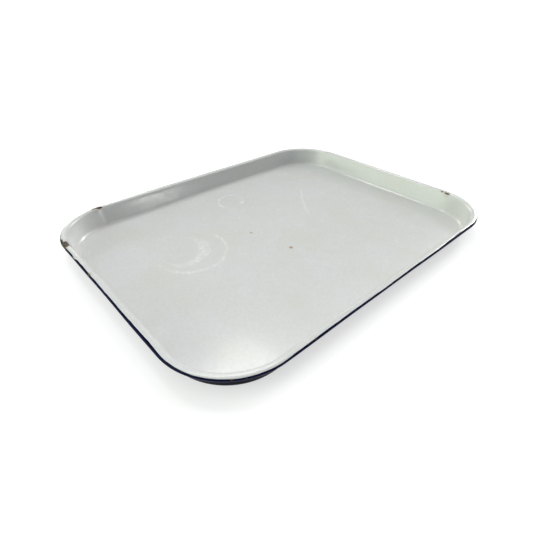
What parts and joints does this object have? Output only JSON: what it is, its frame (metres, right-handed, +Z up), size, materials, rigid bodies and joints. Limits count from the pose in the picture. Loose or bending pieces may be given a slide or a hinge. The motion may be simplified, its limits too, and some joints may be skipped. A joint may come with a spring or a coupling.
{
  "type": "developing tray",
  "caption": "Shallow rectangular enamelled steel tray with rounded corners, leaning walls and an outward lip rolled round at its edge in a blue band.",
  "frame": {"origin": "centre of the flat underside that the tray rests on", "axes": "+Z up out of the tray, +X along its long side, +Y along its short side"},
  "size_m": [0.41, 0.31, 0.023],
  "materials": {
    "pressed_steel": "bare low-carbon steel sheet, rusted brown where the enamel has chipped off",
    "ground_enamel": "thin blue-black ground coat, seen only as a dark ring round a chip",
    "white_enamel": "glossy white vitreous enamel, slightly grey with use, with faint stains and scratches",
    "blue_enamel": "glossy navy vitreous enamel with a hand-applied edge",
    "outer_enamel": "glossy blue-black vitreous enamel, rubbed duller where the tray rests"
  },
  "bodies": {
    "root": {"steel_pan": "pressed_steel", "ground_coat": "ground_enamel", "white_coat": "white_enamel", "blue_rim_band": "blue_enamel", "outer_coat": "outer_enamel"}
  },
  "joints": []
}
